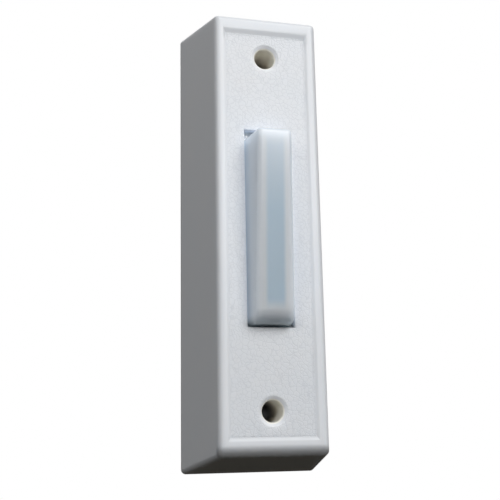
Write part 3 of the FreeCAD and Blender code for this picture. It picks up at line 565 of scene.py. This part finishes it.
def spring_tree():
    """Compression spring wound about Y: working turns between closed end turns."""
    tree = bpy.data.node_groups.new("return_spring", "GeometryNodeTree")
    tree.is_modifier = True
    tree.interface.new_socket("Geometry", in_out="OUTPUT", socket_type="NodeSocketGeometry")
    for name in ("Working turns", "Closed turns", "Coil radius", "Wire radius", "Length"):
        tree.interface.new_socket(name, in_out="INPUT", socket_type="NodeSocketFloat")
    tree.interface.new_socket("Wire finish", in_out="INPUT", socket_type="NodeSocketMaterial")
    wiring = Wiring(tree)
    given = wiring.add("NodeGroupInput").outputs
    line = wiring.add("GeometryNodeCurvePrimitiveLine")
    path = wiring.add("GeometryNodeResampleCurve")
    path.inputs["Count"].default_value = 161
    wiring.link(line.outputs["Curve"], path.inputs["Curve"])
    along = wiring.add("GeometryNodeSplineParameter").outputs["Factor"]

    # The closed turns rise by one wire each, and the working turns share what is left of the length
    closed, working, radius = given["Closed turns"], given["Working turns"], given["Coil radius"]
    turn = wiring.math("MULTIPLY", along, wiring.math("ADD", working, wiring.math("MULTIPLY", closed, 2.0)))
    end_rise = wiring.math("MULTIPLY", closed, wiring.math("MULTIPLY", given["Wire radius"], 2.0))
    rise = wiring.math("SUBTRACT", given["Length"], wiring.math("MULTIPLY", end_rise, 2.0))
    past_first = wiring.math("SUBTRACT", turn, closed)
    past_working = wiring.math("SUBTRACT", past_first, working)
    first = wiring.math("DIVIDE", turn, closed, clamp=True)
    mid = wiring.math("DIVIDE", past_first, working, clamp=True)
    last = wiring.math("DIVIDE", past_working, closed, clamp=True)
    ends = wiring.math("MULTIPLY", wiring.math("ADD", first, last), end_rise)
    angle = wiring.math("MULTIPLY", turn, 2.0 * math.pi)
    spot = wiring.add("ShaderNodeCombineXYZ")
    wiring.link(wiring.math("MULTIPLY", wiring.math("COSINE", angle), radius), spot.inputs["X"])
    wiring.link(wiring.math("ADD", ends, wiring.math("MULTIPLY", mid, rise)), spot.inputs["Y"])
    wiring.link(wiring.math("MULTIPLY", wiring.math("SINE", angle), radius), spot.inputs["Z"])

    wind = wiring.add("GeometryNodeSetPosition")
    wiring.link(path.outputs["Curve"], wind.inputs["Geometry"])
    wiring.link(spot.outputs[0], wind.inputs["Position"])
    section = wiring.add("GeometryNodeCurvePrimitiveCircle")
    section.inputs["Resolution"].default_value = 12
    wiring.link(given["Wire radius"], section.inputs["Radius"])
    sweep = wiring.add("GeometryNodeCurveToMesh")
    sweep.inputs["Fill Caps"].default_value = True
    wiring.link(wind.outputs["Geometry"], sweep.inputs["Curve"])
    wiring.link(section.outputs["Curve"], sweep.inputs["Profile Curve"])
    smooth = wiring.add("GeometryNodeSetShadeSmooth")
    wiring.link(sweep.outputs["Mesh"], smooth.inputs["Geometry"])
    real = wiring.add("GeometryNodeRealizeInstances")
    wiring.link(smooth.outputs["Geometry"], real.inputs["Geometry"])
    paint_wire = wiring.add("GeometryNodeSetMaterial")
    wiring.link(real.outputs["Geometry"], paint_wire.inputs["Geometry"])
    wiring.link(given["Wire finish"], paint_wire.inputs["Material"])
    wiring.link(paint_wire.outputs["Geometry"], wiring.add("NodeGroupOutput").inputs["Geometry"])
    return tree


def wind_springs(material):
    """A wound spring in the place of each packed one."""
    tree = spring_tree()
    sockets = {item.name: item.identifier for item in tree.interface.items_tree if item.in_out == "INPUT"}
    wire_radius = 0.225 * MM
    for side in ("upper", "lower"):
        low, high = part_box("return_spring_" + side)
        sizes = {
            "Working turns": 3.0,
            "Closed turns": 1.0,
            "Coil radius": (high.x - low.x) / 2 - wire_radius,
            "Wire radius": wire_radius,
            "Length": high.y - low.y - 2 * wire_radius,
            "Wire finish": material,
        }
        winder = add_object("winder", bpy.data.meshes.new("winder"))
        modifier = winder.modifiers.new("winding", "NODES")
        modifier.node_group = tree
        for name, value in sizes.items():
            modifier[sockets[name]] = value
        wound = winder.evaluated_get(bpy.context.evaluated_depsgraph_get())
        mesh = bpy.data.meshes.new_from_object(wound)
        mesh.name = "return_spring_coil_" + side
        mesh.transform(Matrix.Translation(((low.x + high.x) / 2, low.y + wire_radius, (low.z + high.z) / 2)))
        bpy.data.objects.remove(winder)
        coil = add_object(mesh.name, mesh)
        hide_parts("return_spring_" + side)
        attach(coil, "base")
        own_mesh(coil)


def dress_leaf(material):
    """The contact leaf, cut across in level bands and thinner at its front."""
    mesh, shape = welded_copy("contact_leaf", "contact_leaf_spring")
    low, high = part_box("contact_leaf")

    # Level cuts across the leaf, between its start and its end
    first_cut, between_cuts, cuts = -20.0, 0.6, 11
    for step in range(cuts):
        level = Vector((0, 0, (first_cut + between_cuts * step) * MM))
        everything = shape.verts[:] + shape.edges[:] + shape.faces[:]
        bmesh.ops.bisect_plane(
            shape, geom=everything, plane_co=level, plane_no=(0, 0, 1), dist=0.0001 * MM
        )

    # A thinner front leaves room for the plunger's edge when the bar is in
    front_skin, thinning = 0.1 * MM, 0.08 * MM
    for corner in shape.verts:
        if corner.co.y < low.y + front_skin:
            corner.co.y += thinning
    shape.to_mesh(mesh)
    shape.free()
    mesh.materials.append(material)
    leaf = add_object(mesh.name, mesh)
    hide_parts("contact_leaf")
    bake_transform(leaf)


def paint(names, material):
    """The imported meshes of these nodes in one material."""
    for name in names:
        mesh = nodes[name].data
        mesh.materials.clear()
        mesh.materials.append(material)


def paint_inner_pieces():
    paint(["light_guide"], guide_finish())
    paint(["back_plate"], board_finish())
    upright = (1.0, 1.0, 0.1)
    brass = metal_finish("strip_brass", (0.80, 0.62, 0.30), (0.45, 0.32, 0.14), 0.3, upright)
    bronze = metal_finish("leaf_bronze", (0.76, 0.52, 0.32), (0.42, 0.26, 0.14), 0.28, upright)
    silver = metal_finish("contact_silver", (0.86, 0.86, 0.84), (0.55, 0.54, 0.50), 0.25)
    turned = metal_finish("rivet_brass", (0.78, 0.60, 0.28), (0.46, 0.32, 0.13), 0.32)
    zinc = metal_finish("plated_steel", (0.70, 0.69, 0.64), (0.48, 0.46, 0.40), 0.3)
    wire = metal_finish("spring_wire", (0.58, 0.58, 0.58), (0.38, 0.37, 0.36), 0.25)
    tinned = metal_finish("tinned_wire", (0.76, 0.76, 0.75), (0.55, 0.54, 0.52), 0.3)
    paint(["fixed_strip"], brass)
    dress_leaf(bronze)
    paint(["leaf_contact", "fixed_contact"], silver)
    paint(["strip_rivet", "leaf_rivet", "terminal_nut_upper", "terminal_nut_lower"], turned)
    paint(["terminal_screw_upper", "terminal_screw_lower", "clamp_washer_upper", "clamp_washer_lower"], zinc)
    wind_springs(wire)
    paint(["lamp_lead_left", "lamp_lead_right", "resistor_lead_upper", "resistor_lead_lower"], tinned)
    paint(["indicator_lamp"], lamp_finish())
    paint(["resistor"], resistor_finish())


make_camera()
make_world()
make_lamp("key_lamp", (0.45, -1.20, 0.76), (1.0, 1.0), 17.8)
make_lamp("left_lamp", (-0.50, -0.58, 0.26), (0.24, 0.05), 1.15)
make_floor()
bpy.context.scene.view_settings.view_transform = "Standard"
dress_housing()
dress_bar()
paint_inner_pieces()
